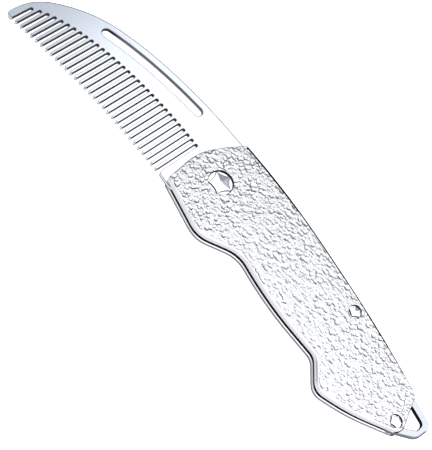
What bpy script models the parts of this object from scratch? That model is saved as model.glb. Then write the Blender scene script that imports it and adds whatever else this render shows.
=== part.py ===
"""A folding comb of stainless steel, built like a pocket knife.

The comb swings on a pivot between two cast scales. A spacer along the spine holds the scales apart
and runs out at the butt as a lanyard loop. The comb is drawn open and lies with its front up.
The origin is on the pivot's axis, in the plane of the back. +X runs along the handle to the loop,
+Y to the spine and +Z up through the front. Sizes are in metres, angles in degrees.
"""

from math import acos, ceil, cos, hypot, pi, radians, sin, sqrt, tan

import bmesh
import bpy
from mathutils import Matrix, Vector

# The stack, from the back up.
SCALE_THICKNESS = 0.0015
SLOT_WIDTH = 0.0018
COMB_THICKNESS = 0.0015
SPACER_THICKNESS = 0.0016
SLOT_FLOOR = SCALE_THICKNESS
SLOT_ROOF = SCALE_THICKNESS + SLOT_WIDTH
FRONT_FACE = SLOT_ROOF + SCALE_THICKNESS
MIDDLE = (SLOT_FLOOR + SLOT_ROOF) / 2

# The comb's travel from open to closed, about the pivot.
CLOSED_ANGLE = 168

# Teeth: the gaps are slots cut square to a line that leans from the handle's own line.
GAP_COUNT = 32
TOOTH_PITCH = 0.002
TOOTH_LEAN = 4.4
FIRST_GAP = -0.0756
GAP_WIDTH_AT_ROOT = 0.00098
GAP_WIDTH_AT_TIP = 0.00112

# The roots lie on a quarter ellipse, the tips on the circle through three points.
ROOT_CENTRE_X = -0.0045
ROOT_TOP_Y = 0.0017
ROOT_HALF_LENGTH = 0.0738
ROOT_HALF_HEIGHT = 0.0266
TIP_POINTS = ((-0.0744, -0.0237), (-0.0440, -0.0172), (-0.0130, -0.0141))

# Thumb slot of the comb: a bent centre line from end to end.
THUMB_SLOT_WIDTH = 0.0031
THUMB_SLOT_START = (-0.0576, -0.0004)
THUMB_SLOT_CORNER = (-0.0426, 0.0059)
THUMB_SLOT_END = (-0.0228, 0.0090)

# Outlines: the corners (x, y, radius), anticlockwise.
COMB_SPINE = (
    (-0.0211, 0.01365, 0.190),
    (-0.0444, 0.00885, 0.112),
    (-0.0654, 0.00080, 0.042),
    (-0.0775, -0.01390, 0.017),
    (-0.0770, -0.02375, 0.0012),
)
GUARD_TOOTH_CORNER = (-0.0746, -0.02375, 0.0004)
COMB_TANG = (
    (-0.0121, -0.01385, 0.0012),
    (-0.0062, -0.01385, 0.0016),
    (-0.0045, -0.01120, 0.0030),
    (0.0100, -0.00950, 0.0060),
    (0.0100, 0.00900, 0.0060),
    (-0.0030, 0.01498, 0.0030),
)
HANDLE_BELLY = (
    (-0.0089, -0.01345, 0.0010),
    (0.0098, -0.01620, 0.0095),
    (0.0209, -0.00842, 0.0100),
    (0.0376, -0.01010, 0.112),
    (0.0569, -0.00837, 0.0040),
    (0.0649, -0.01470, 0.0045),
    (0.0756, -0.00993, 0.060),
)
HANDLE_BUTT = ((0.0887, -0.00076, 0.0028), (0.0822, 0.01075, 0.0030))
HANDLE_SPINE = ((0.06065, 0.01414, 0.360), (0.0145, 0.01668, 0.240))
HANDLE_FRONT = (
    (-0.00565, 0.01497, 0.0005),
    (-0.00855, 0.00860, 0.025),
    (-0.01085, 0.00150, 0.016),
    (-0.01075, -0.00350, 0.020),
)
LOOP_OUTSIDE = (
    (0.0856, -0.00305, 0.0003),
    (0.0923, 0.00310, 0.0040),
    (0.0923, 0.00905, 0.0028),
)
LOOP_HOLE = (
    (0.0868, 0.00100, 0.0006),
    (0.0905, 0.00480, 0.0009),
    (0.0902, 0.00760, 0.0014),
    (0.0831, 0.00840, 0.0008),
)
SPACER_FRONT_X = 0.0195
SPACER_FRONT_CORNER = 0.0006
SPACER_BUTT_X = 0.0798
SPACER_TO_TEETH = 0.0007
SPACER_BUTT_INSIDE = ((0.0813, 0.00860, 0.0008), (0.0820, -0.00060, 0.0030))

# Rounded edges of the scales.
SCALE_EDGE = 0.0004

# Pivot: a barrel from the back, a bolt with a star head from the front.
BARREL_RADIUS = 0.0021
BARREL_BORE_RADIUS = 0.0016
BARREL_HEAD_RADIUS = 0.0036
BARREL_HEAD_HEIGHT = 0.0007
BARREL_FLOOR = 0.0009
PIVOT_RECESS_RADIUS = 0.0040
PIVOT_RECESS_DEPTH = 0.0007
PIVOT_STAR_RADIUS = 0.0038
PIVOT_STAR_WAIST = 0.00265
PIVOT_STAR_TURN = 90.5
PIVOT_SHANK_RADIUS = 0.0015

# Scale screws (x, y, turn of the star).
SPINE_SCREW = (0.0529, 0.0109, -2)
BUTT_SCREW = (0.0847, 0.0002, 38)
SCREW_RECESS_RADIUS = 0.00205
SCREW_RECESS_DEPTH = 0.0006
SCREW_STAR_RADIUS = 0.00192
SCREW_STAR_WAIST = 0.00138
SCREW_SHANK_RADIUS = 0.0009
SCREW_END_INSET = 0.0001

# Running and fitting gaps.
BORE_CLEARANCE = 0.0001
HEAD_CLEARANCE = 0.00005

STAR_POINTS = 5

# How finely curves are drawn. The unit is a curve object's own, one millimetre.
DRAWING_UNIT = 0.001
FLATNESS = 0.00002
ROUND_SIDES = 40
HALF_ROUND_STEPS = 6
THUMB_SLOT_STEPS = 16
STAR_SIDE_STEPS = 8
SPACER_STEPS = 8
MEETING_ROUNDS = 4
WELD_DISTANCE = 1e-7
SMOOTH_ANGLE = 35


def clear_scene():
    """Remove every object of the scene."""
    for old in list(bpy.data.objects):
        bpy.data.objects.remove(old, do_unlink=True)


def collection(name):
    """A new collection in the scene."""
    group = bpy.data.collections.new(name)
    bpy.context.scene.collection.children.link(group)
    return group


def steel(name, colour, roughness):
    """A metal finish."""
    material = bpy.data.materials.new(name)
    material.use_nodes = True
    shader = material.node_tree.nodes["Principled BSDF"]
    shader.inputs["Base Color"].default_value = (*colour, 1)
    shader.inputs["Metallic"].default_value = 1
    shader.inputs["Roughness"].default_value = roughness
    return material


def steps_for(radius, angle):
    """How many chords keep an arc within FLATNESS of its circle."""
    step = 2 * acos(1 - FLATNESS / max(radius, 2 * FLATNESS))
    return max(1, ceil(angle / step))


def rounded(corners):
    """The outline through the corners (x, y, radius), each corner filled by an arc."""
    points = []
    for index, (x, y, radius) in enumerate(corners):
        corner = Vector((x, y))
        before = (Vector(corners[index - 1][:2]) - corner).normalized()
        after = (Vector(corners[(index + 1) % len(corners)][:2]) - corner).normalized()
        if radius == 0:
            points.append(corner)
            continue
        half = acos(max(-1, min(1, before.dot(after)))) / 2
        start = corner + before * radius / tan(half)
        centre = corner + (before + after).normalized() * radius / sin(half)
        turn = (pi - 2 * half) * (1 if before.cross(after) < 0 else -1)
        steps = steps_for(radius, abs(turn))
        points += [
            centre + Matrix.Rotation(turn * step / steps, 2) @ (start - centre)
            for step in range(steps + 1)
        ]
    return points


def circle(x, y, radius, sides=ROUND_SIDES):
    """A round outline."""
    centre = Vector((x, y))
    return [centre + Vector((radius, 0)) @ Matrix.Rotation(2 * pi * i / sides, 2) for i in range(sides)]


def circle_through(a, b, c):
    """The centre and radius of the circle through three points."""
    a, b, c = Vector(a), Vector(b), Vector(c)
    u, v = b - a, c - a
    double = 2 * u.cross(v)
    centre = a + Vector((v.y * u.dot(u) - u.y * v.dot(v), u.x * v.dot(v) - v.x * u.dot(u))) / double
    return centre, (centre - a).length


def root_height(x):
    """Height of the tooth roots at x, on their quarter ellipse."""
    reach = (x - ROOT_CENTRE_X) / ROOT_HALF_LENGTH
    return ROOT_TOP_Y - ROOT_HALF_HEIGHT * (1 - sqrt(1 - reach * reach))


def tip_height(x):
    """Height of the tooth tips at x, on their circle."""
    centre, radius = circle_through(*TIP_POINTS)
    return centre.y + sqrt(radius * radius - (x - centre.x) ** 2)


def tooth_frame():
    """Unit vectors along the row of teeth and down a tooth."""
    lean = radians(TOOTH_LEAN)
    return Vector((cos(lean), sin(lean))), Vector((sin(lean), -cos(lean)))


def on_line(offset, height):
    """Where the line down the teeth at this offset along the row meets a curve of heights."""
    along, down = tooth_frame()
    point = along * offset
    for _ in range(MEETING_ROUNDS):
        point = along * offset + down * ((height(point.x) - offset * along.y) / down.y)
    return point


def half_round(first, last, downwards):
    """Points of the half circle from first to last, bulging down or up the teeth."""
    _, down = tooth_frame()
    centre = (first + last) / 2
    side = (first - last) / 2
    bulge = down * side.length * (1 if downwards else -1)
    angles = [pi * step / HALF_ROUND_STEPS for step in range(HALF_ROUND_STEPS + 1)]
    return [centre + side * cos(angle) + bulge * sin(angle) for angle in angles]


def tooth_row():
    """The comb's lower edge from the first gap's near wall to the last gap's far wall."""
    along, down = tooth_frame()
    tip_radius = (TOOTH_PITCH - GAP_WIDTH_AT_TIP) / 2
    points = []
    for gap in range(GAP_COUNT):
        offset = FIRST_GAP + gap * TOOTH_PITCH
        root = on_line(offset, root_height)
        half_root = along * GAP_WIDTH_AT_ROOT / 2
        points += half_round(root - half_root, root + half_root, False)
        if gap < GAP_COUNT - 1:
            tip = on_line(offset + TOOTH_PITCH / 2, tip_height) - down * tip_radius
            half_tip = along * tip_radius
            points += half_round(tip - half_tip, tip + half_tip, True)
    return points


def comb_outline():
    """The whole comb: spine, guard tooth, teeth, heel and tang, anticlockwise."""
    row = tooth_row()
    wall_top = (row[0].x, row[0].y, 0)
    heel_top = (row[-1].x, row[-1].y, 0)
    corners = rounded((*COMB_SPINE, GUARD_TOOTH_CORNER, wall_top, heel_top, *COMB_TANG))
    split = next(i for i, point in enumerate(corners) if (point - row[0]).length < FLATNESS)
    return corners[:split] + row + corners[split + 2 :]


def thumb_slot():
    """The long slot: a bent centre line, offset to both sides and closed by half circles."""
    start, corner, end = Vector(THUMB_SLOT_START), Vector(THUMB_SLOT_CORNER), Vector(THUMB_SLOT_END)
    left, right = [], []
    for step in range(THUMB_SLOT_STEPS + 1):
        t = step / THUMB_SLOT_STEPS
        point = start * (1 - t) ** 2 + corner * 2 * t * (1 - t) + end * t * t
        run = ((corner - start) * (1 - t) + (end - corner) * t).normalized()
        side = Vector((-run.y, run.x)) * THUMB_SLOT_WIDTH / 2
        left.append(point + side)
        right.append(point - side)
    ends = []
    for centre, first in ((end, right[-1]), (start, left[0])):
        sweep = [pi * step / (2 * HALF_ROUND_STEPS) for step in range(1, 2 * HALF_ROUND_STEPS)]
        ends.append([centre + Matrix.Rotation(angle, 2) @ (first - centre) for angle in sweep])
    return right + ends[0] + left[::-1] + ends[1]


def spacer_outline():
    """Along the spine, round the loop, and back clear of the closed comb's tooth tips."""
    tips, radius = circle_through(*TIP_POINTS)
    tips = Matrix.Rotation(radians(CLOSED_ANGLE), 2) @ tips
    radius -= SPACER_TO_TEETH
    inside = []
    for step in range(SPACER_STEPS + 1):
        x = SPACER_FRONT_X + (SPACER_BUTT_X - SPACER_FRONT_X) * step / SPACER_STEPS
        inside.append((x, tips.y - sqrt(radius * radius - (x - tips.x) ** 2), 0))
    front = (SPACER_FRONT_X, HANDLE_SPINE[1][1] - SPACER_FRONT_CORNER, SPACER_FRONT_CORNER)
    return rounded((*LOOP_OUTSIDE, HANDLE_SPINE[0], front, *inside, *SPACER_BUTT_INSIDE))


def star_outline(x, y, turn, radius, waist):
    """A star with hollow sides: an arc from each tip through the waist to the next tip."""
    tips = [
        Vector((cos(a), sin(a))) * radius
        for a in (radians(turn) + 2 * pi * i / STAR_POINTS for i in range(STAR_POINTS))
    ]
    points = []
    for index, tip in enumerate(tips):
        following = tips[(index + 1) % STAR_POINTS]
        low = (tip + following).normalized() * waist
        centre, _ = circle_through(tip, low, following)
        sweep = (tip - centre).angle_signed(following - centre)
        for step in range(STAR_SIDE_STEPS):
            swing = Matrix.Rotation(-sweep * step / STAR_SIDE_STEPS, 2)
            points.append(Vector((x, y)) + centre + swing @ (tip - centre))
    return points


def plate(name, outlines, bottom, top, material, group, edge=0.0):
    """A flat plate between two heights: the first outline is its edge, the others are holes.

    The curve is drawn in millimetres and scaled down, as the fill merges points that lie
    closer together than 0.00003 of a unit.
    """
    curve = bpy.data.curves.new(name, "CURVE")
    curve.dimensions = "2D"
    curve.fill_mode = "BOTH"
    curve.extrude = ((top - bottom) / 2 - edge) / DRAWING_UNIT
    curve.bevel_depth = edge / DRAWING_UNIT
    curve.bevel_resolution = 1
    curve.offset = -edge / DRAWING_UNIT
    for outline in outlines:
        spline = curve.splines.new("POLY")
        spline.points.add(len(outline) - 1)
        for point, (x, y) in zip(spline.points, outline):
            point.co = (x / DRAWING_UNIT, y / DRAWING_UNIT, 0, 1)
        spline.use_cyclic_u = True
    curve.materials.append(material)
    plate_object = bpy.data.objects.new(name, curve)
    plate_object.location.z = (bottom + top) / 2
    plate_object.scale = (DRAWING_UNIT, DRAWING_UNIT, DRAWING_UNIT)
    group.objects.link(plate_object)
    return plate_object


def as_mesh(curve_object):
    """The curve object made a welded mesh object of the same name, in its place."""
    bpy.context.view_layer.update()
    depsgraph = bpy.context.evaluated_depsgraph_get()
    mesh = bpy.data.meshes.new_from_object(curve_object.evaluated_get(depsgraph))
    welded = bmesh.new()
    welded.from_mesh(mesh)
    bmesh.ops.remove_doubles(welded, verts=welded.verts, dist=WELD_DISTANCE / DRAWING_UNIT)
    welded.to_mesh(mesh)
    welded.free()
    name, place = curve_object.name, curve_object.matrix_world.copy()
    group = curve_object.users_collection[0]
    bpy.data.objects.remove(curve_object, do_unlink=True)
    mesh_object = bpy.data.objects.new(name, mesh)
    mesh_object.matrix_world = place
    group.objects.link(mesh_object)
    mesh.shade_smooth()
    mesh.set_sharp_from_angle(angle=radians(SMOOTH_ANGLE))
    return mesh_object


def cylinder(name, x, y, radius, bottom, top, group):
    """A round helper solid, drawn as wire and left out of renders."""
    bpy.ops.mesh.primitive_cylinder_add(
        vertices=ROUND_SIDES, radius=radius, depth=top - bottom, location=(x, y, (bottom + top) / 2)
    )
    helper = bpy.context.object
    helper.name = name
    for owner in list(helper.users_collection):
        owner.objects.unlink(helper)
    group.objects.link(helper)
    helper.hide_render = True
    helper.display_type = "WIRE"
    return helper


def combine(target, helper, operation):
    """Cut the helper from the target, or join it on."""
    boolean = target.modifiers.new(helper.name, "BOOLEAN")
    boolean.operation = operation
    boolean.object = helper


def handle_outline():
    """The edge that both scales share."""
    return rounded((*HANDLE_BELLY, *HANDLE_BUTT, *HANDLE_SPINE, *HANDLE_FRONT))


def build_comb(parts, material):
    """The sawn plate with its teeth, thumb slot and pivot hole."""
    bottom = MIDDLE - COMB_THICKNESS / 2
    outlines = (comb_outline(), thumb_slot(), circle(0, 0, BARREL_RADIUS + BORE_CLEARANCE))
    plate("comb", outlines, bottom, bottom + COMB_THICKNESS, material, parts)


def build_spacer(parts, material):
    """The strip that keeps the scales apart, with its loop and the screws' holes."""
    bottom = MIDDLE - SPACER_THICKNESS / 2
    hole = SCREW_SHANK_RADIUS + BORE_CLEARANCE
    holes = [circle(x, y, hole) for x, y, _ in (SPINE_SCREW, BUTT_SCREW)]
    outlines = (spacer_outline(), rounded(LOOP_HOLE), *holes)
    plate("spacer_with_loop", outlines, bottom, bottom + SPACER_THICKNESS, material, parts)


def build_front_scale(parts, cutters, material):
    """The upper scale, with a bore and a round recess for each star head."""
    scale = as_mesh(
        plate("front_scale", (handle_outline(),), SLOT_ROOF, FRONT_FACE, material, parts, SCALE_EDGE)
    )
    above = FRONT_FACE + SCALE_THICKNESS
    for label, x, y, bore, recess, depth in (
        ("pivot", 0, 0, BARREL_RADIUS, PIVOT_RECESS_RADIUS, PIVOT_RECESS_DEPTH),
        ("spine", *SPINE_SCREW[:2], SCREW_SHANK_RADIUS, SCREW_RECESS_RADIUS, SCREW_RECESS_DEPTH),
        ("butt", *BUTT_SCREW[:2], SCREW_SHANK_RADIUS, SCREW_RECESS_RADIUS, SCREW_RECESS_DEPTH),
    ):
        bore += BORE_CLEARANCE
        through = cylinder(f"{label}_front_bore", x, y, bore, MIDDLE, above, cutters)
        seat = cylinder(f"{label}_recess", x, y, recess, FRONT_FACE - depth, above, cutters)
        combine(scale, through, "DIFFERENCE")
        combine(scale, seat, "DIFFERENCE")


def build_back_scale(parts, cutters, material):
    """The lower scale, with the seat of the barrel's head and the screws' holes."""
    scale = as_mesh(
        plate("back_scale", (handle_outline(),), 0, SLOT_FLOOR, material, parts, SCALE_EDGE)
    )
    below = -SCALE_THICKNESS
    bore = BARREL_RADIUS + BORE_CLEARANCE
    seat = BARREL_HEAD_RADIUS + BORE_CLEARANCE
    depth = BARREL_HEAD_HEIGHT + HEAD_CLEARANCE
    combine(scale, cylinder("pivot_back_bore", 0, 0, bore, below, MIDDLE, cutters), "DIFFERENCE")
    combine(scale, cylinder("barrel_seat", 0, 0, seat, below, depth, cutters), "DIFFERENCE")
    for label, (x, y, _) in (("spine", SPINE_SCREW), ("butt", BUTT_SCREW)):
        bore = SCREW_SHANK_RADIUS + BORE_CLEARANCE
        through = cylinder(f"{label}_back_bore", x, y, bore, below, MIDDLE, cutters)
        combine(scale, through, "DIFFERENCE")


def build_barrel(parts, material):
    """The turned sleeve that the comb swings on, with its plain round head at the back."""
    top = FRONT_FACE - PIVOT_RECESS_DEPTH - HEAD_CLEARANCE
    profile = (
        (0, BARREL_FLOOR),
        (BARREL_BORE_RADIUS, BARREL_FLOOR),
        (BARREL_BORE_RADIUS, top),
        (BARREL_RADIUS, top),
        (BARREL_RADIUS, BARREL_HEAD_HEIGHT),
        (BARREL_HEAD_RADIUS, BARREL_HEAD_HEIGHT),
        (BARREL_HEAD_RADIUS, 0),
        (0, 0),
    )
    mesh = bpy.data.meshes.new("pivot_barrel")
    edges = [(i, i + 1) for i in range(len(profile) - 1)]
    mesh.from_pydata([(r, 0, z) for r, z in profile], edges, [])
    mesh.materials.append(material)
    barrel = bpy.data.objects.new("pivot_barrel", mesh)
    parts.objects.link(barrel)
    turn = barrel.modifiers.new("turn", "SCREW")
    turn.steps = turn.render_steps = ROUND_SIDES
    turn.use_merge_vertices = True
    turn.merge_threshold = 1e-6
    turn.use_smooth_shade = False


def build_star_bolt(name, place, star, shank, parts, helpers, material):
    """A star head on a round shank, at place (x, y, turn)."""
    x, y, turn = place
    radius, waist, head_bottom = star
    shank_radius, shank_bottom = shank
    outline = star_outline(x, y, turn, radius, waist)
    bolt = as_mesh(plate(name, (outline,), head_bottom, FRONT_FACE, material, parts))
    middle_of_head = (head_bottom + FRONT_FACE) / 2
    stem = cylinder(f"{name}_stem", x, y, shank_radius, shank_bottom, middle_of_head, helpers)
    combine(bolt, stem, "UNION")


def build_bolts(parts, helpers, material):
    """The pivot bolt and the two screws that hold the scales to the spacer."""
    head_bottom = FRONT_FACE - PIVOT_RECESS_DEPTH + HEAD_CLEARANCE
    build_star_bolt(
        "pivot_star_bolt",
        (0, 0, PIVOT_STAR_TURN),
        (PIVOT_STAR_RADIUS, PIVOT_STAR_WAIST, head_bottom),
        (PIVOT_SHANK_RADIUS, BARREL_FLOOR + BORE_CLEARANCE),
        parts,
        helpers,
        material,
    )
    head_bottom = FRONT_FACE - SCREW_RECESS_DEPTH + HEAD_CLEARANCE
    for name, place in (("spine_star_screw", SPINE_SCREW), ("butt_star_screw", BUTT_SCREW)):
        build_star_bolt(
            name,
            place,
            (SCREW_STAR_RADIUS, SCREW_STAR_WAIST, head_bottom),
            (SCREW_SHANK_RADIUS, SCREW_END_INSET),
            parts,
            helpers,
            material,
        )


clear_scene()
parts = collection("folding_comb")
cutters = collection("cutters")
brushed = steel("brushed_steel", (0.86, 0.87, 0.89), 0.30)
cast = steel("cast_steel", (0.80, 0.81, 0.84), 0.25)
polished = steel("polished_steel", (0.88, 0.88, 0.89), 0.15)
build_comb(parts, brushed)
build_spacer(parts, polished)
build_front_scale(parts, cutters, cast)
build_back_scale(parts, cutters, cast)
build_barrel(parts, polished)
build_bolts(parts, cutters, polished)
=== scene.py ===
"""The looks of the folding comb: satin blade, hammered cast scales, star bolts and a polished loop.

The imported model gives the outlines, the holes and the outer heights. Sizes are in metres and
angles in degrees, except where a name says otherwise.
"""

import bmesh
import bpy
import numpy as np
from mathutils import Matrix, Vector


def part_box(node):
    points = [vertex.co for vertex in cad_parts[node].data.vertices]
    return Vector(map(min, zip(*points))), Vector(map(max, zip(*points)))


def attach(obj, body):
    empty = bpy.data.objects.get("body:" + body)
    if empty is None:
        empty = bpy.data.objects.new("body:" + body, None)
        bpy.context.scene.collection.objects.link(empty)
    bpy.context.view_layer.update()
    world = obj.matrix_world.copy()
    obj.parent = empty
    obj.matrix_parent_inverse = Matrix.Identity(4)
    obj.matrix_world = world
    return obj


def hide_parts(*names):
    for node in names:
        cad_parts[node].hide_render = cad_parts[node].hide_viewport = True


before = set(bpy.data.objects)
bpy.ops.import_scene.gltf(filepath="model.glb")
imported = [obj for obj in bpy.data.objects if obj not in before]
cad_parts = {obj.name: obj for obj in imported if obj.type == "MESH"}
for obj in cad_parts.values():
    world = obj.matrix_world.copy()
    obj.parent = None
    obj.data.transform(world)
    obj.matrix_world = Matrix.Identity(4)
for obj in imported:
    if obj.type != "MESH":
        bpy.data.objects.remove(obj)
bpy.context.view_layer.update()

# Camera: high on the belly side, a little towards the butt, and rolled so that the comb runs
# from the top left of the picture to its bottom right.
CAMERA_PLACE = Vector((0.07333, -0.19209, 0.32762))
CAMERA_TARGET = Vector((0.00973, -0.00841, 0.00237))
CAMERA_ROLL = np.radians(52.4706)
CAMERA_RANGE = (0.01, 50)
LENS_MM = 104.95
SENSOR_MM = 36

camera = bpy.data.cameras.new("camera")
camera.lens = LENS_MM
camera.sensor_width = SENSOR_MM
camera.clip_start, camera.clip_end = CAMERA_RANGE
camera_object = bpy.data.objects.new("camera", camera)
forward = (CAMERA_TARGET - CAMERA_PLACE).normalized()
side = forward.cross(Vector((0, 0, 1))).normalized()
lean = side.cross(forward)
right = lean * np.cos(CAMERA_ROLL) + side * np.sin(CAMERA_ROLL)
up = lean * np.sin(CAMERA_ROLL) - side * np.cos(CAMERA_ROLL)
camera_axes = Matrix((right, up, -forward)).transposed().to_4x4()
camera_object.matrix_world = Matrix.Translation(CAMERA_PLACE) @ camera_axes
bpy.context.scene.collection.objects.link(camera_object)
bpy.context.scene.camera = camera_object

# Stage: a white light table under one wide overhead softbox. The metal mirrors a second table
# top with no glow, on which its shadows fall, and a dark card that starts under the comb's back.
# The room is dark beyond the comb and pale behind the camera.
TABLE_SIZE = 12.0
TABLE_HEIGHT = -0.00004
TABLE_COLOUR = (0.90, 0.90, 0.91, 1)
TABLE_GLOW = 1.00
SHEET_ROUGHNESS = 0.9
MIRRORED_HEIGHT = -0.00002
CARD_HEIGHT = -0.00001
CARD_COLOUR = (0.03, 0.03, 0.035, 1)
CARD_REACH = 3.0
# (x, y) along the card's near edge, from the butt's side to the nose's.
CARD_EDGE = (
    (CARD_REACH, -0.10),
    (0.110, 0.001),
    (0.088, 0.006),
    (0.075, 0.009),
    (0.050, 0.012),
    (0.020, 0.0135),
    (-0.012, 0.0125),
    (-0.024, 0.0108),
    (-0.036, 0.0086),
    (-0.048, 0.0053),
    (-0.0535, 0.0030),
    (-0.0555, -0.0015),
    (-0.060, -0.0030),
    (-0.066, -0.0050),
    (-0.072, -0.0100),
    (-0.090, -0.030),
    (-CARD_REACH, -CARD_REACH),
)
SOFTBOX_HEIGHT = 0.90
SOFTBOX_TURN = np.radians(22)
SOFTBOX_LOW = (-0.21, -1.00)
SOFTBOX_HIGH = (1.20, 0.70)
SOFTBOX_RADIANCE = 0.80
# ((1 + z) / 2, colour) for a direction whose height is z.
ROOM_COLOURS = (
    (0.40, (0.26, 0.27, 0.30, 1)),
    (0.49, (0.05, 0.05, 0.06, 1)),
    (0.60, (0.05, 0.05, 0.06, 1)),
    (0.80, (0.10, 0.105, 0.12, 1)),
    (0.86, (0.32, 0.35, 0.40, 1)),
    (0.91, (0.51, 0.565, 0.65, 1)),
    (0.97, (0.72, 0.76, 0.84, 1)),
)
DARK_WAY = (-0.64, 0.77, 0.0)
DARK_FROM = 0.35
PALE_FROM = -0.15
PALE_WALL = (0.84, 0.85, 0.88, 1)


def flat_sheet(name, outline, height, colour, glow):
    """A level sheet of matt colour that may glow: its corners are (x, y, height) over an outline."""
    mesh = bpy.data.meshes.new(name)
    mesh.from_pydata([(x, y, height) for x, y in outline], [], [range(len(outline))])
    paint = bpy.data.materials.new(name)
    paint.use_nodes = True
    shader = paint.node_tree.nodes["Principled BSDF"]
    shader.inputs["Base Color"].default_value = colour
    shader.inputs["Roughness"].default_value = SHEET_ROUGHNESS
    shader.inputs["Specular IOR Level"].default_value = 0
    shader.inputs["Emission Color"].default_value = (1, 1, 1, 1)
    shader.inputs["Emission Strength"].default_value = glow
    mesh.materials.append(paint)
    sheet = bpy.data.objects.new(name, mesh)
    bpy.context.scene.collection.objects.link(sheet)
    return sheet


half = TABLE_SIZE / 2
square = ((-half, -half), (half, -half), (half, half), (-half, half))
table = flat_sheet("light_table", square, TABLE_HEIGHT, TABLE_COLOUR, TABLE_GLOW)
table.visible_glossy = False
mirrored = flat_sheet("mirrored_table", square, MIRRORED_HEIGHT, TABLE_COLOUR, 0)
card_outline = ((-CARD_REACH, CARD_REACH), *CARD_EDGE[::-1], (CARD_REACH, CARD_REACH))
card = flat_sheet("dark_card", card_outline, CARD_HEIGHT, CARD_COLOUR, 0)
for sheet in (mirrored, card):
    sheet.visible_camera = False
    sheet.visible_diffuse = False
    sheet.visible_shadow = False

softbox = bpy.data.lights.new("softbox", "AREA")
softbox.shape = "RECTANGLE"
softbox.size, softbox.size_y = (high - low for low, high in zip(SOFTBOX_LOW, SOFTBOX_HIGH))
softbox.energy = SOFTBOX_RADIANCE * np.pi * softbox.size * softbox.size_y
softbox_object = bpy.data.objects.new("softbox", softbox)
softbox_middle = [(low + high) / 2 for low, high in zip(SOFTBOX_LOW, SOFTBOX_HIGH)]
softbox_place = Matrix.Translation((*softbox_middle, SOFTBOX_HEIGHT))
softbox_object.matrix_world = Matrix.Rotation(SOFTBOX_TURN, 4, "Z") @ softbox_place
bpy.context.scene.collection.objects.link(softbox_object)

room = bpy.data.worlds.new("room")
bpy.context.scene.world = room
room.use_nodes = True
nodes, links = room.node_tree.nodes, room.node_tree.links
direction = nodes.new("ShaderNodeTexCoord")
split = nodes.new("ShaderNodeSeparateXYZ")
height = nodes.new("ShaderNodeMapRange")
height.inputs["From Min"].default_value = -1
by_height = nodes.new("ShaderNodeValToRGB")
along = nodes.new("ShaderNodeVectorMath")
along.operation = "DOT_PRODUCT"
along.inputs[1].default_value = DARK_WAY
behind = nodes.new("ShaderNodeMapRange")
behind.inputs["From Min"].default_value = DARK_FROM
behind.inputs["From Max"].default_value = PALE_FROM
lit_room = nodes.new("ShaderNodeMix")
lit_room.data_type = "RGBA"
lit_room.blend_type = "LIGHTEN"
lit_room.inputs["B"].default_value = PALE_WALL
links.new(direction.outputs["Generated"], split.inputs[0])
links.new(split.outputs["Z"], height.inputs["Value"])
links.new(height.outputs["Result"], by_height.inputs[0])
links.new(direction.outputs["Generated"], along.inputs[0])
links.new(along.outputs["Value"], behind.inputs["Value"])
links.new(behind.outputs["Result"], lit_room.inputs["Factor"])
links.new(by_height.outputs[0], lit_room.inputs["A"])
links.new(lit_room.outputs["Result"], nodes["Background"].inputs["Color"])
stops = by_height.color_ramp.elements
stops[0].position, stops[0].color = ROOM_COLOURS[0]
stops[1].position, stops[1].color = ROOM_COLOURS[-1]
for position, colour in ROOM_COLOURS[1:-1]:
    stops.new(position).color = colour
bpy.context.scene.view_settings.view_transform = "Standard"

# Comb: one plate of stainless steel with sawn teeth and a long thumb slot. Its faces and the
# rounded top edge of its back are satin, as are the tooth tips above their foot. The other
# walls, every lower edge, the other top edges and the tips' foot have a near-black sawn skin:
# a cutter's dull skin, darkened further as painted shade. The walls of the slot and the bore
# are a darker milled steel, also partly painted shade.
SATIN, SAWN_AND_SHADED, MILLED_AND_SHADED = range(3)
TOOTH_EDGE = 0.00009
SLOT_EDGE = 0.00015
BACK_EDGE = 0.00025
BACK_FULL = 0.5
BACK_SATIN = 0.4
TIP_FACING = -0.35
COMB_EDGE_STEPS = 3
EDGE_WIDTH = 1.6
FOOT_SHARE = 0.3
FACE_BORDER = 0.00005
UPRIGHT = 0.001
SAME_HEIGHT = 0.00002
SAME_PLACE = 0.000001
LEAST_DIVISOR = 0.35
SOOTY_NOISE = 0.34
BARE_NOISE = 0.56
SATIN_COLOUR = (0.90, 0.915, 0.94, 1)
SAWN_AND_SHADED_COLOUR = (0.075, 0.077, 0.083, 1)
MILLED_AND_SHADED_COLOUR = (0.34, 0.35, 0.37, 1)


def wall_loops(node, height):
    """The closed outlines that a node's upright walls have at a height, longest first.

    Each is an (n, 2) array that keeps the metal on its left. A wall's top edge runs against the
    outline in its own triangle, so every such edge gives one step of the way round. A triangle is
    upright where the height of its normal is less than UPRIGHT of the normal's length.
    """
    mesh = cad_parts[node].data
    mesh.calc_loop_triangles()
    places = np.empty(len(mesh.vertices) * 3, np.float32)
    corners = np.empty(len(mesh.loop_triangles) * 3, np.int32)
    mesh.vertices.foreach_get("co", places)
    mesh.loop_triangles.foreach_get("vertices", corners)
    triangles = places.reshape(-1, 3)[corners].reshape(-1, 3, 3).astype(float)
    normals = np.cross(triangles[:, 1] - triangles[:, 0], triangles[:, 2] - triangles[:, 0])
    walls = triangles[np.abs(normals[:, 2]) < UPRIGHT * np.linalg.norm(normals, axis=1)]
    ends = np.stack((walls, np.roll(walls, -1, axis=1)), axis=2).reshape(-1, 2, 3)
    ends = ends[(np.abs(ends[:, :, 2] - height) < SAME_HEIGHT).all(axis=1)][:, :, :2]
    keys = np.round(ends / SAME_PLACE).astype(int)
    following = {tuple(b): (tuple(a), point) for (a, b), (_, point) in zip(keys, ends)}
    loops = []
    while following:
        key = next(iter(following))
        loop = []
        while key in following:
            key, point = following.pop(key)
            loop.append(point)
        loops.append(np.array(loop))
    return sorted(loops, key=lambda loop: -np.linalg.norm(np.diff(loop, axis=0), axis=1).sum())


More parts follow.
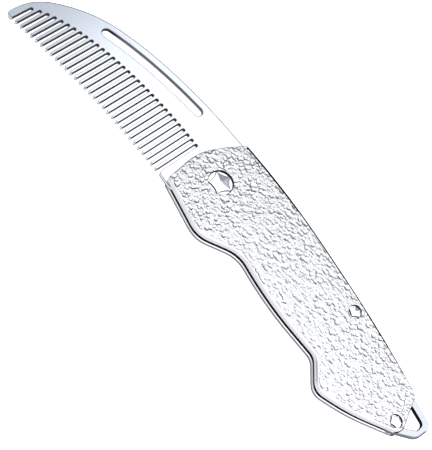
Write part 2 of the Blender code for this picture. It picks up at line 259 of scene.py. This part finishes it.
def into_metal(loop):
    """The step at each outline point that moves both its edges one unit into the metal.

    With n1 and n2 the left normals of the edges before and after it, the step is
    (n1 + n2) / (1 + n1 . n2). The divisor stays over LEAST_DIVISOR, which shortens the step at a
    sharp corner.
    """
    run = np.roll(loop, -1, axis=0) - loop
    after = np.stack((-run[:, 1], run[:, 0]), axis=1) / np.linalg.norm(run, axis=1)[:, None]
    before = np.roll(after, 1, axis=0)
    return (before + after) / np.maximum(1 + (before * after).sum(axis=1), LEAST_DIVISOR)[:, None]


def band_faces(under, over):
    """The four-sided faces between rings of point numbers, row k of under with row k of over.

    Face i joins points i and i + 1 of both rings, and faces out where the rings turn left.
    """
    corners = (under, np.roll(under, -1, axis=1), np.roll(over, -1, axis=1), over)
    return np.stack(corners, axis=2).reshape(-1, 4)


def edged_plate(name, low, high, edges, steps):
    """A flat plate from low to high whose edge is a profile carried along every outline.

    edges lists (outline, edge height R at each point, finishes of the wall's foot, of the wall, of
    the lower edge and of the upper edge after each point). A ring lies EDGE_WIDTH R (1 - cos a)
    into the metal and R (1 - sin a) from the face, for a from 0 at the wall to 90 degrees. One
    more ring, FACE_BORDER further in, keeps the face flat, and one parts the wall from its foot.
    The two faces are filled with triangles from rim to rim.
    """
    angle = np.linspace(0, np.pi / 2, steps + 1)
    inset = EDGE_WIDTH * np.append(1 - np.cos(angle), 1)[:, None]
    fall = np.append(1 - np.sin(angle), 0)[:, None]
    border = np.append(np.zeros(steps + 1), FACE_BORDER)[:, None]
    foot_band = steps + 1
    points, faces, finishes = [], [], []
    for outline, radius, foot, wall, lower_edge, upper_edge in edges:
        flat = outline + (inset * radius + border)[..., None] * into_metal(outline)
        upper = np.dstack((flat, high - fall * radius))
        lower = upper[::-1] * (1, 1, -1) + (0, 0, low + high)
        foot_top = np.insert(outline, 2, low + FOOT_SHARE * (high - low), axis=1)
        rings = np.concatenate((lower, foot_top[None], upper))
        index = sum(map(len, points)) + np.arange(rings[..., 0].size).reshape(len(rings), -1)
        bands = np.zeros((len(rings) - 1, len(outline)), np.int32)
        bands[1:foot_band] = lower_edge
        bands[foot_band] = foot
        bands[foot_band + 1] = wall
        bands[foot_band + 2 : -1] = upper_edge
        points.append(rings.reshape(-1, 3))
        faces.append(band_faces(index[:-1], index[1:]))
        finishes.append(bands.ravel())
    mesh = bpy.data.meshes.new(name)
    mesh.from_pydata(np.vstack(points).tolist(), [], np.vstack(faces).tolist())
    mesh.polygons.foreach_set("material_index", np.concatenate(finishes))
    work = bmesh.new()
    work.from_mesh(mesh)
    for facing in (-1, 1):
        rim = [
            edge for edge in work.edges
            if edge.is_boundary and (edge.verts[0].co.z - (low + high) / 2) * facing > 0
        ]
        filled = bmesh.ops.triangle_fill(work, use_beauty=True, edges=rim, normal=(0, 0, facing))
        for face in filled["geom"]:
            if isinstance(face, bmesh.types.BMFace) and face.normal.z * facing < 0:
                face.normal_flip()
    work.to_mesh(mesh)
    work.free()
    mesh.shade_smooth()
    piece = bpy.data.objects.new(name, mesh)
    bpy.context.scene.collection.objects.link(piece)
    return piece


def steel(name, colour, roughness, wander, grain, stretch, relief, shine=1, soot=0):
    """A steel finish over a noise of this grain, its coordinates stretched.

    The roughness goes from its value - wander to its value + wander with the noise, which is also
    felt as relief. With shine 0 it is a matt skin with no metallic sheen, which the near-black
    finishes use for painted shade. Soot is the share of its colour that is lost where the noise is
    low.
    """
    material = bpy.data.materials.new(name)
    material.use_nodes = True
    nodes, links = material.node_tree.nodes, material.node_tree.links
    shader = nodes["Principled BSDF"]
    shader.inputs["Base Color"].default_value = colour
    shader.inputs["Metallic"].default_value = shine
    shader.inputs["Specular IOR Level"].default_value = 0.5 * shine
    place = nodes.new("ShaderNodeTexCoord")
    mapping = nodes.new("ShaderNodeMapping")
    mapping.inputs["Scale"].default_value = stretch
    noise = nodes.new("ShaderNodeTexNoise")
    noise.inputs["Scale"].default_value = grain
    noise.inputs["Detail"].default_value = 4
    spread = nodes.new("ShaderNodeMapRange")
    spread.inputs["To Min"].default_value = roughness - wander
    spread.inputs["To Max"].default_value = roughness + wander
    bump = nodes.new("ShaderNodeBump")
    bump.inputs["Distance"].default_value = relief
    links.new(place.outputs["Object"], mapping.inputs["Vector"])
    links.new(mapping.outputs["Vector"], noise.inputs["Vector"])
    links.new(noise.outputs["Fac"], spread.inputs["Value"])
    links.new(noise.outputs["Fac"], bump.inputs["Height"])
    links.new(spread.outputs["Result"], shader.inputs["Roughness"])
    links.new(bump.outputs["Normal"], shader.inputs["Normal"])
    if soot:
        bare = nodes.new("ShaderNodeMapRange")
        bare.inputs["From Min"].default_value = SOOTY_NOISE
        bare.inputs["From Max"].default_value = BARE_NOISE
        tint = nodes.new("ShaderNodeMix")
        tint.data_type = "RGBA"
        tint.inputs["A"].default_value = (*(part * (1 - soot) for part in colour[:3]), 1)
        tint.inputs["B"].default_value = colour
        links.new(noise.outputs["Fac"], bare.inputs["Value"])
        links.new(bare.outputs["Result"], tint.inputs["Factor"])
        links.new(tint.outputs["Result"], shader.inputs["Base Color"])
    return material


satin = steel(
    "satin_steel", SATIN_COLOUR, roughness=0.18, wander=0.04,
    grain=900, stretch=(0.08, 1, 1), relief=3e-6,
)
# Near-black and matt: a cutter's dull skin and painted shade on the teeth's walls and edges.
sawn_and_shaded = steel(
    "sawn_and_shaded_steel", SAWN_AND_SHADED_COLOUR, roughness=0.6, wander=0.1,
    grain=1800, stretch=(1, 1, 0.2), relief=12e-6, shine=0,
)
# A milled finish darker than bare steel: partly painted shade on the slot's and bore's walls.
milled_and_shaded = steel(
    "milled_and_shaded_steel", MILLED_AND_SHADED_COLOUR, roughness=0.30, wander=0.06,
    grain=1800, stretch=(1, 1, 0.2), relief=6e-6,
)
comb_low, comb_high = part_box("comb")
toothed, *holes = wall_loops("comb", comb_high.z)
outward = -into_metal(toothed)
back = np.clip(outward[:, 1] / BACK_FULL, 0, 1)
run = np.roll(toothed, -1, axis=0) - toothed
bend = np.cross(np.roll(run, 1, axis=0), run)
tip = (outward[:, 1] < TIP_FACING) & (np.roll(bend, -1) + bend > 0)
# Sawn finish, partly painted shade: walls but the tips, the tips' foot, lower edges, top edges off the
# back.
tooth_walls = np.where(tip, SATIN, SAWN_AND_SHADED)
top_edge = np.where(outward[:, 1] > BACK_SATIN, SATIN, SAWN_AND_SHADED)
comb = edged_plate(
    "satin_comb",
    comb_low.z,
    comb_high.z,
    [(toothed, TOOTH_EDGE + (BACK_EDGE - TOOTH_EDGE) * back, SAWN_AND_SHADED, tooth_walls, SAWN_AND_SHADED, top_edge)]
    + [(hole, np.full(len(hole), SLOT_EDGE), MILLED_AND_SHADED, MILLED_AND_SHADED, MILLED_AND_SHADED, MILLED_AND_SHADED) for hole in holes],
    COMB_EDGE_STEPS,
)
for finish in (satin, sawn_and_shaded, milled_and_shaded):
    comb.data.materials.append(finish)
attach(comb, "comb")
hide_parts("comb")

# Spacer: the strip of polished steel that keeps the scales apart along the spine, and runs
# out of the butt as the lanyard loop. Its walls and its top edge on the belly side are brushed
# steel darkened with painted shade, the loop's edge is rounded on the belly side and just
# broken on the others, and the holes' walls are painted black shade.
POLISHED, BRUSHED_AND_SHADED, PUNCHED_AND_SHADED = range(3)
SPACER_EDGE = 0.00009
LOOP_EDGE = 0.00030
LOOP_BLEND = 0.0015
BELLY_FACING = -0.1
SPACER_EDGE_STEPS = 4
POLISHED_COLOUR = (0.63, 0.637, 0.665, 1)
BRUSHED_AND_SHADED_COLOUR = (0.20, 0.205, 0.225, 1)
PUNCHED_AND_SHADED_COLOUR = (0.012, 0.012, 0.014, 1)

polished = steel(
    "polished_steel", POLISHED_COLOUR, roughness=0.12, wander=0.03,
    grain=700, stretch=(1, 1, 1), relief=2e-6,
)
# Brushed, and darkened as painted shade on the walls and the belly side's edge.
brushed = steel(
    "brushed_steel", BRUSHED_AND_SHADED_COLOUR, roughness=0.28, wander=0.05,
    grain=1400, stretch=(0.2, 0.2, 1), relief=5e-6,
)
# Near-black and matt: painted shade on the holes' walls.
punched_and_shaded = steel(
    "punched_and_shaded_steel", PUNCHED_AND_SHADED_COLOUR, roughness=0.6, wander=0.1,
    grain=1800, stretch=(1, 1, 0.2), relief=12e-6, shine=0,
)
spacer_low, spacer_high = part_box("spacer_with_loop")
around, *holes = wall_loops("spacer_with_loop", spacer_high.z)
belly_side = into_metal(around)[:, 1] > BELLY_FACING
past_butt = around[:, 0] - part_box("front_scale")[1].x
loop_share = np.clip(past_butt / LOOP_BLEND + 1, 0, 1) * belly_side
# The walls and the belly side's top edge are brushed and darkened: painted shade.
top_edge = np.where(belly_side, BRUSHED_AND_SHADED, POLISHED)
# The holes' walls are painted black shade.
spacer = edged_plate(
    "polished_spacer",
    spacer_low.z,
    spacer_high.z,
    [(around, SPACER_EDGE + (LOOP_EDGE - SPACER_EDGE) * loop_share, BRUSHED_AND_SHADED, BRUSHED_AND_SHADED, BRUSHED_AND_SHADED, top_edge)]
    + [(hole, np.full(len(hole), SPACER_EDGE), PUNCHED_AND_SHADED, PUNCHED_AND_SHADED, PUNCHED_AND_SHADED, PUNCHED_AND_SHADED) for hole in holes],
    SPACER_EDGE_STEPS,
)
for finish in (polished, brushed, punched_and_shaded):
    spacer.data.materials.append(finish)
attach(spacer, "handle")
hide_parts("spacer_with_loop")

# Scales: two cast slabs with one outline, hammered all over the outside. The belly edge is
# smooth and ground on the front scale, while on the back one it and the walls are a darker
# steel, painted shade. Each hole is a bore with a recess for the head that fills it, and the
# bore, the recess wall and the fillet at the floor's edge are painted black shade.
CAST, SHADE_BLACK, SPOTFACED, GROUND, SHADED_EDGE = range(5)
SCALE_WALL_TOP = 0.0004
OUTLINE_STEP = 0.00018
OUTLINE_SOFTNESS = 0.00035
# (x, y) ways in which the four corners lie furthest, from belly and front round by the butt.
CORNER_WAYS = ((-1, -1.6), (1, -1), (1, 2.6), (-0.6, 1))
ACROSS = 150
ACROSS_START = 0.018
EDGE_ROWS = np.array((0, 0.0012, 0.003, 0.0055, 0.009, 0.0135))
ALONG_STEP = 0.000185
ALONG_CROWDING = 0.25
FRONT_BELLY_RIM = 0.00085
BACK_BELLY_RIM = 0.00045
OTHER_RIM = 0.00040
SMOOTH_SHARE = 0.7
RIM_FADE = 0.0006
FRONT_INNER_EDGE = 0.00012
BACK_INNER_EDGE = 0.00044
OTHER_INNER_EDGE = 0.00012
INNER_EDGE_BLEND = 0.0015
INNER_EDGE_STEPS = 4
BELLY_LINE = 0.0006
SPINE_LINE_ROWS = 8
BUTT_LINE_ROWS = 2
BLOW_PITCH = np.array((0.00068, 0.00064))
BLOW_JITTER = 0.7
BLOW_NEIGHBOURS = 2
BLOW_REACH = (0.00020, 0.00078)
BLOW_DEPTH = 0.00019
REACH_POWER = 1.6
DEPTH_POWER = 2.4
DENT_POWER = 6
DENT_RIM_SOFTNESS = 0.000003
CALM = 0.36
CALM_START = 0.35
FRONT_SEED = 11
BACK_SEED = 23
HOLE_SIDES = 96
ROUNDNESS = 0.02
CREASE = np.radians(40)
DRILL_REACH = 0.0005
FRONT_RECESSES = (0.00070, 0.00060, 0.00060)
BACK_RECESSES = (0.00075, 0, 0)
RECESS_FILLETS = (0.00024, 0.00014, 0.00014)
CAST_COLOUR = (0.87, 0.855, 0.83, 1)
SHADE_BLACK_COLOUR = (0.012, 0.012, 0.014, 1)
SPOTFACED_COLOUR = (0.90, 0.90, 0.915, 1)
GROUND_COLOUR = (0.92, 0.92, 0.93, 1)
SHADED_EDGE_COLOUR = (0.33, 0.33, 0.35, 1)


def softened(loop, step, softness):
    """The outline in even steps with its facets rounded.

    Each wave of x and of y round the outline, w radians per metre, is weakened to
    exp(-(softness w)^2 / 2) of itself.
    """
    closed = np.vstack((loop, loop[:1]))
    length = np.concatenate(((0,), np.cumsum(np.linalg.norm(np.diff(closed, axis=0), axis=1))))
    count = int(length[-1] / step)
    even = np.linspace(0, length[-1], count, endpoint=False)
    kept = np.exp(-((softness * 2 * np.pi * np.fft.rfftfreq(count, length[-1] / count)) ** 2) / 2)
    return np.stack(
        [np.fft.irfft(np.fft.rfft(np.interp(even, length, closed[:, k])) * kept, count) for k in (0, 1)],
        axis=1,
    )


def side_between(loop, start, end, shares):
    """The outline's points at these shares of its length from the point start on to the point end."""
    first, last = (np.linalg.norm(loop - corner, axis=1).argmin() for corner in (start, end))
    run = np.roll(loop, -first, axis=0)[: (last - first) % len(loop) + 1]
    length = np.concatenate(((0,), np.cumsum(np.linalg.norm(np.diff(run, axis=0), axis=1))))
    return np.stack([np.interp(shares * length[-1], length, run[:, k]) for k in (0, 1)], axis=1)


def four_sided(sides, along, across):
    """A grid inside four joined curves: a Coons patch.

    point(u, v) = (1 - v) belly(u) + v spine(u) + (1 - u) front(v) + u butt(v)
    - the bilinear surface through the four corners.
    """
    belly, butt, spine, front = sides
    u, v = along[:, None, None], across[None, :, None]
    ruled = (1 - v) * belly[:, None] + v * spine[::-1][:, None]
    ruled = ruled + (1 - u) * front[::-1][None] + u * butt[None]
    flat = (1 - u) * ((1 - v) * belly[0] + v * front[0]) + u * ((1 - v) * belly[-1] + v * butt[-1])
    return ruled - flat


def distance_to(points, line):
    """How far each grid point lies from an open line: the least distance to any of its chords."""
    start, chord = line[:-1], np.diff(line, axis=0)
    share = ((points[:, :, None] - start) * chord).sum(axis=3) / (chord**2).sum(axis=1)
    nearest = start + np.clip(share, 0, 1)[..., None] * chord
    return np.linalg.norm(points[:, :, None] - nearest, axis=3).min(axis=2)


def hammered(points, seed):
    """Depth of a hammered face under the plain that the blows have left between them.

    The blows lie on a jittered lattice. Each leaves a round dent with a nearly flat bottom,
    h = depth (1 - (distance / reach)^DENT_POWER). With U even from 0 to 1, the depth is
    BLOW_DEPTH U^DEPTH_POWER, and the reach goes from least to most with U^REACH_POWER. The face
    is the soft deepest of 0 and the dents near a point: with s the softness of a rim, its depth
    is s log(1 + sum exp(h / s)).
    """
    chance = np.random.RandomState(seed)
    corner = points.min(axis=(0, 1)) - (BLOW_NEIGHBOURS + 1) * BLOW_PITCH
    cells = ((points.max(axis=(0, 1)) - corner) / BLOW_PITCH).astype(int) + BLOW_NEIGHBOURS + 2
    jitter = chance.uniform(-BLOW_JITTER, BLOW_JITTER, (*cells, 2))
    sunk = BLOW_DEPTH * chance.uniform(0, 1, cells) ** DEPTH_POWER
    reach = BLOW_REACH[0] + (BLOW_REACH[1] - BLOW_REACH[0]) * chance.uniform(0, 1, cells) ** REACH_POWER
    cell = ((points - corner) / BLOW_PITCH).astype(int)
    total = np.ones(points.shape[:2])
    for i in range(-BLOW_NEIGHBOURS, BLOW_NEIGHBOURS + 1):
        for j in range(-BLOW_NEIGHBOURS, BLOW_NEIGHBOURS + 1):
            at = tuple(np.moveaxis(cell + (i, j), -1, 0))
            centre = corner + (cell + (i, j) + 0.5 + jitter[at]) * BLOW_PITCH
            share = ((points - centre) ** 2).sum(axis=2) / reach[at] ** 2
            total += np.exp(sunk[at] * (1 - share ** (DENT_POWER / 2)) / DENT_RIM_SOFTNESS)
    return DENT_RIM_SOFTNESS * np.log(total)


def hammered_face(outline, belly_rim, seed):
    """A grid over a scale's outline, its depth under the outer plane and its way to the belly.

    The rows along it lie at u - sin(2 pi u) ALONG_CROWDING / (2 pi), closer at the front and the
    butt. Across it, close rows at EDGE_ROWS lead to even ones. Its depth is the deeper of the
    rim's drop, R - sqrt(R^2 - (R - d)^2) at distance d from the edge, and the blows. The blows
    set in at SMOOTH_SHARE of the belly's rim and grow over RIM_FADE by f^2 (3 - 2 f). With u the
    share of the way from front to butt and v from belly to spine, they are weaker by the factor
    1 - CALM min(1, u / CALM_START) (1 - v^2). A distance is taken to every fourth point of a side.
    """
    corners = [outline[(outline * way).sum(axis=1).argmax()] for way in CORNER_WAYS]
    even = np.linspace(ACROSS_START, 1 - ACROSS_START, ACROSS)
    across = np.concatenate((EDGE_ROWS, even, 1 - EDGE_ROWS[::-1]))
    along = np.linspace(0, 1, int(np.linalg.norm(corners[1] - corners[0]) / ALONG_STEP))
    along = along - np.sin(2 * np.pi * along) * ALONG_CROWDING / (2 * np.pi)
    belly, butt, spine, front = (
        side_between(outline, corners[k], corners[(k + 1) % 4], share)
        for k, share in enumerate((along, across, 1 - along[::-1], 1 - across[::-1]))
    )
    grid = four_sided((belly, butt, spine, front), along, across)
    coarse = slice(None, None, 4)
    to_belly = distance_to(grid, np.vstack((belly[coarse], belly[-1:])))
    to_rest = distance_to(grid, np.vstack((butt[coarse], spine[coarse], front[coarse], front[-1:])))
    drop = np.maximum(*(
        rim - np.sqrt(np.maximum(rim**2 - np.maximum(rim - far, 0) ** 2, 0))
        for rim, far in ((belly_rim, to_belly), (OTHER_RIM, to_rest))
    ))
    fade = np.clip((to_belly - belly_rim * SMOOTH_SHARE) / RIM_FADE, 0, 1)
    vigour = 1 - CALM * np.clip(along / CALM_START, 0, 1)[:, None] * (1 - across[None, :] ** 2)
    blows = hammered(grid, seed) * vigour * fade * fade * (3 - 2 * fade)
    return grid, np.maximum(drop, blows), to_belly


def cast_scale(name, outline, outer, inner, belly_rim, belly_inner_edge, belly_finish, seed):
    """A scale: a hammered outer face, upright walls, a rounded inner edge and a flat inner face.

    A ring of the inner edge lies E (1 - cos a) into the metal and E (1 - sin a) off the inner
    face, for a from 0 at the wall to 90 degrees, and E goes from its belly value to the other one
    over INNER_EDGE_BLEND. The belly finish covers the belly's rim and the wall down to the first
    ring past its foot, and on the back scale it is painted shade. The rest of the inner edge is
    ground. The edge lines along the spine and the butt, the butt's wall and the inner face are
    painted black shade.
    """
    grid, depth, to_belly = hammered_face(outline, belly_rim, seed)
    turn = 1 if outer > inner else -1
    outside = np.dstack((grid, outer - turn * depth))
    m, n = grid.shape[:2]
    index = np.arange(m * n).reshape(m, n)
    border = np.concatenate((index[:-1, 0], index[-1, :-1], index[:0:-1, -1], index[0, :0:-1]))
    edge = grid.reshape(-1, 2)[border]
    near_belly = np.clip(1 - to_belly.reshape(-1)[border] / INNER_EDGE_BLEND, 0, 1)
    radius = OTHER_INNER_EDGE + (belly_inner_edge - OTHER_INNER_EDGE) * near_belly
    angle = np.linspace(0, np.pi / 2, INNER_EDGE_STEPS + 1)[:, None]
    rings = np.dstack((
        edge + into_metal(edge) * (radius * (1 - np.cos(angle)))[..., None],
        inner + turn * radius * (1 - np.sin(angle)),
    ))
    rows = np.vstack((border, m * n + np.arange(rings[..., 0].size).reshape(len(rings), -1)))
    squares = np.stack((index[:-1, :-1], index[1:, :-1], index[1:, 1:], index[:-1, 1:]), axis=2)
    squares = squares.reshape(-1, 4)
    faces = [*np.vstack((squares, band_faces(rows[1:], rows[:-1]))).tolist(), rows[-1, ::-1].tolist()]
    if turn < 0:
        faces = [face[::-1] for face in faces]
    mesh = bpy.data.meshes.new(name)
    mesh.from_pydata(np.vstack((outside.reshape(-1, 3), rings.reshape(-1, 3))).tolist(), [], faces)
    finishes = np.full(len(faces), CAST, np.int32)
    top = finishes[: len(squares)].reshape(m - 1, n - 1)
    # The belly finish is ground on the front scale and painted shade on the back one.
    top[to_belly[:-1, :-1] < BELLY_LINE] = belly_finish
    # Painted black shade along the spine and the butt, on the butt's wall and on the inner face.
    top[:, -SPINE_LINE_ROWS:] = SHADE_BLACK
    top[-BUTT_LINE_ROWS:] = SHADE_BLACK
    walls = finishes[len(squares) : -1].reshape(len(rings), -1)
    walls[:2] = belly_finish
    walls[2:] = GROUND
    walls[:, m - 1 : m + n - 2] = SHADE_BLACK
    finishes[-1] = SHADE_BLACK
    mesh.polygons.foreach_set("material_index", finishes)
    mesh.shade_smooth()
    mesh.polygons[-1].use_smooth = False
    piece = bpy.data.objects.new(name, mesh)
    bpy.context.scene.collection.objects.link(piece)
    return piece


def closed_rings(name, rings, finishes):
    """A closed solid: rings of points from the bottom up, each turning left, with a pole at both ends.

    A pole is the mean of its ring, and band k, between rings k and k + 1, has its own finish.
    """
    count, around = rings.shape[:2]
    points = np.vstack((rings.reshape(-1, 3), rings[0].mean(axis=0), rings[-1].mean(axis=0)))
    index = np.arange(count * around).reshape(count, around)
    pole = np.full(around, count * around)
    under = np.column_stack((pole, np.roll(index[0], -1), index[0]))
    over = np.column_stack((pole + 1, index[-1], np.roll(index[-1], -1)))
    faces = band_faces(index[:-1], index[1:]).tolist() + under.tolist() + over.tolist()
    mesh = bpy.data.meshes.new(name)
    mesh.from_pydata(points.tolist(), [], faces)
    own = np.repeat((*finishes, finishes[0], finishes[-1]), around)
    mesh.polygons.foreach_set("material_index", own.astype(np.int32))
    mesh.shade_smooth()
    mesh.set_sharp_from_angle(angle=CREASE)
    piece = bpy.data.objects.new(name, mesh)
    bpy.context.scene.collection.objects.link(piece)
    return piece


def turned(place, profile, sides):
    """Rings of a turned shape: place + radius (cos t, sin t), for each (radius, height) of the profile."""
    angle = np.arange(sides) * 2 * np.pi / sides
    radius, height = np.array(profile).T[:, :, None]
    x, y = place[0] + radius * np.cos(angle), place[1] + radius * np.sin(angle)
    return np.dstack((x, y, np.broadcast_to(height, x.shape)))


def drilled(scale, place, profile, finishes):
    """Cut a turned hole out of a scale, and leave the hole's own finishes on its walls."""
    drill = closed_rings("drill", turned(place, profile, HOLE_SIDES), finishes)
    cut = scale.modifiers.new("cut", "BOOLEAN")
    cut.object = drill
    cut_scale = scale.evaluated_get(bpy.context.evaluated_depsgraph_get())
    with_hole = bpy.data.meshes.new_from_object(cut_scale)
    scale.modifiers.clear()
    plain, scale.data = scale.data, with_hole
    with_hole.name = scale.name
    bpy.data.meshes.remove(plain)
    bpy.data.meshes.remove(drill.data)


def round_holes(node, height):
    """(centre, radius) of a node's round outlines at a height, from the pivot to the butt.

    The centre is the mean of an outline's points, and the radius their mean distance from it.
    """
    found = []
    for loop in wall_loops(node, height):
        centre = loop.mean(axis=0)
        away = np.linalg.norm(loop - centre, axis=1)
        if np.ptp(away) < ROUNDNESS * away.mean():
            found.append((centre, away.mean()))
    return sorted(found, key=lambda hole: hole[0][0])


cast = steel(
    "cast_steel", CAST_COLOUR, roughness=0.13, wander=0.04,
    grain=3000, stretch=(1, 1, 1), relief=60e-6, soot=0.32,
)
# Near-black and matt: painted shade in bores, recesses, edge lines and star head walls.
shade_black = steel(
    "shade_black_steel", SHADE_BLACK_COLOUR, roughness=0.6, wander=0.1,
    grain=1800, stretch=(1, 1, 0.2), relief=12e-6, shine=0,
)
spotfaced = steel(
    "spotfaced_steel", SPOTFACED_COLOUR, roughness=0.12, wander=0.03,
    grain=1200, stretch=(1, 1, 1), relief=2e-6,
)
ground = steel(
    "ground_steel", GROUND_COLOUR, roughness=0.14, wander=0.04,
    grain=2200, stretch=(0.3, 0.3, 1), relief=5e-6,
)
# Darker steel on the back scale's belly rim and walls: painted shade.
shaded_edge = steel(
    "shaded_edge_steel", SHADED_EDGE_COLOUR, roughness=0.34, wander=0.06,
    grain=2200, stretch=(0.6, 0.6, 0.2), relief=8e-6,
)
# The back scale's belly finish is a darker steel: painted shade.
front_belly = (FRONT_BELLY_RIM, FRONT_INNER_EDGE, GROUND)
back_belly = (BACK_BELLY_RIM, BACK_INNER_EDGE, SHADED_EDGE)
for node, name, outer, inner, belly, seed, recesses in (
    ("front_scale", "front_cast_scale", 1, 0, front_belly, FRONT_SEED, FRONT_RECESSES),
    ("back_scale", "back_cast_scale", 0, 1, back_belly, BACK_SEED, BACK_RECESSES),
):
    levels = [corner.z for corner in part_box(node)]
    outline = softened(wall_loops(node, levels[1] - SCALE_WALL_TOP)[0], OUTLINE_STEP, OUTLINE_SOFTNESS)
    scale = cast_scale(name, outline, levels[outer], levels[inner], *belly, seed)
    for finish in (cast, shade_black, spotfaced, ground, shaded_edge):
        scale.data.materials.append(finish)
    turn = 1 if outer > inner else -1
    past_inner, past_outer = levels[inner] - turn * DRILL_REACH, levels[outer] + turn * DRILL_REACH
    wide_holes, bores = (round_holes(node, levels[end]) for end in (outer, inner))
    for (centre, wide), (_, bore), depth, fillet in zip(wide_holes, bores, recesses, RECESS_FILLETS):
        floor = levels[outer] - turn * depth
        profile = [(bore, past_inner), (bore, past_outer)]
        # The bore is painted black shade, and so are the recess's fillet and wall.
        finishes = (SHADE_BLACK,)
        if depth:
            profile[1:] = [
                (bore, floor),
                (wide - fillet, floor),
                (wide, floor + turn * fillet),
                (wide, past_outer),
            ]
            finishes = (SHADE_BLACK, SPOTFACED, SHADE_BLACK, SHADE_BLACK)
        drilled(scale, centre, profile[::turn], finishes[::turn])
    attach(scale, "handle")
    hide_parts(node)

# Star bolts: a bolt at the pivot and two screws through the scales, of polished steel. Each head
# is a five-pointed star, a shallow pyramid with a ridge to every point, over a plain round shank;
# the head's side wall is painted black shade.
CROWN, SHADED_HEAD_WALL = range(2)
STAR_POINTS = 5
STAR_STEP = 0.00005
STAR_SOFTNESS = 0.00005
STAR_SLOPE = 0.095
STAR_EDGE = 0.00004
STAR_EDGE_MIDDLE = 0.3
SHADED_HEAD_WALL_BANDS = slice(3, 5)
SHANK_CHAMFER = 0.00015
BOLT_HEAD_DEPTH = 0.00065
SCREW_HEAD_DEPTH = 0.00055
CROWN_RINGS = 12
BRIGHT_COLOUR = (0.91, 0.91, 0.925, 1)

bright = steel(
    "bright_steel", BRIGHT_COLOUR, roughness=0.09, wander=0.03, grain=900, stretch=(1, 1, 1), relief=1.2e-6
)


def star_bolt(name, node, depth):
    """A bolt from its shank's end up to the point of its head.

    Its rings are complex numbers x + iy from the centre. A head ring is a share of the outline,
    and the crown's height is H - STAR_SLOPE * the most of p . m over the five sides, p a point
    and m the way to the middle of a side. The tips lie at arg(sum of |p| exp(5 i angle)) / 5, the
    phase of the outline's fifth wave.
    """
    low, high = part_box(node)
    outline = softened(wall_loops(node, high.z)[0], STAR_STEP, STAR_SOFTNESS)
    centre, shank = round_holes(node, low.z)[0]
    reach = (outline - centre) @ (1, 1j)
    angle = np.angle(reach)
    way = np.exp(1j * angle)
    tips = np.angle((np.abs(reach) * np.exp(STAR_POINTS * 1j * angle)).sum()) / STAR_POINTS
    middles = np.exp(1j * (tips + np.pi / STAR_POINTS * np.arange(1, 2 * STAR_POINTS, 2)))
    underside = high.z - depth

    def crown(shares):
        """Head rings at these shares of the outline, and the crown's height at their points."""
        rings = np.asarray(shares)[:, None] * reach
        fall = np.real(rings[..., None] * np.conj(middles)).max(axis=-1)
        return rings, high.z - STAR_SLOPE * fall

    edge = STAR_EDGE / np.abs(reach).mean()
    inner_shares = np.linspace(1 - edge, 0, CROWN_RINGS, endpoint=False)[1:]
    crown_rings, crown_heights = crown(np.append(1 - edge, inner_shares))
    _, (rim,) = crown((1,))
    lower_rings = (
        ((shank - SHANK_CHAMFER) * way, low.z),
        (shank * way, low.z + SHANK_CHAMFER),
        (shank * way, underside),
        (reach * (1 - edge), underside),
        (reach, underside + STAR_EDGE),
        (reach, rim - STAR_EDGE),
        (reach * (1 - edge * STAR_EDGE_MIDDLE), rim - STAR_EDGE * STAR_EDGE_MIDDLE),
    )
    flat = np.vstack(([ring for ring, _ in lower_rings], crown_rings))
    heights = np.vstack(([np.broadcast_to(z, reach.shape) for _, z in lower_rings], crown_heights))
    rings = np.dstack((centre[0] + flat.real, centre[1] + flat.imag, heights))
    finishes = np.full(len(rings) - 1, CROWN)
    # The head's side wall is painted black shade.
    finishes[SHADED_HEAD_WALL_BANDS] = SHADED_HEAD_WALL
    bolt = closed_rings(name, rings, finishes)
    for finish in (bright, shade_black):
        bolt.data.materials.append(finish)
    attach(bolt, "handle")
    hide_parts(node)


for node, name, depth in (
    ("pivot_star_bolt", "faceted_pivot_bolt", BOLT_HEAD_DEPTH),
    ("spine_star_screw", "faceted_spine_screw", SCREW_HEAD_DEPTH),
    ("butt_star_screw", "faceted_butt_screw", SCREW_HEAD_DEPTH),
):
    star_bolt(name, node, depth)

# Barrel: the turned steel sleeve that the comb swings on. The pivot bolt screws into it, and
# its plain round head lies in the back scale.
BARREL_FLOOR = 0.0009
BARREL_HEAD = 0.0007
BARREL_CHAMFER = 0.00012
BARREL_SIDES = 128
TURNED_COLOUR = (0.80, 0.80, 0.815, 1)

machined = steel(
    "turned_steel", TURNED_COLOUR, roughness=0.18, wander=0.05, grain=2600, stretch=(1, 1, 0.1), relief=4e-6
)
barrel_low, barrel_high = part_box("pivot_barrel")
barrel_rounds = round_holes("pivot_barrel", barrel_high.z)
(pivot, narrow), (_, wide) = sorted(barrel_rounds, key=lambda hole: hole[1])
head = (barrel_high.x - barrel_low.x) / 2
barrel_profile = (
    (head - BARREL_CHAMFER, barrel_low.z),
    (head, barrel_low.z + BARREL_CHAMFER),
    (head, BARREL_HEAD),
    (wide, BARREL_HEAD),
    (wide, barrel_high.z - BARREL_CHAMFER),
    (wide - BARREL_CHAMFER, barrel_high.z),
    (narrow + BARREL_CHAMFER, barrel_high.z),
    (narrow, barrel_high.z - BARREL_CHAMFER),
    (narrow, BARREL_FLOOR),
)
one_finish = np.zeros(len(barrel_profile) - 1, int)
barrel = closed_rings("turned_barrel", turned(pivot, barrel_profile, BARREL_SIDES), one_finish)
barrel.data.materials.append(machined)
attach(barrel, "handle")
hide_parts("pivot_barrel")
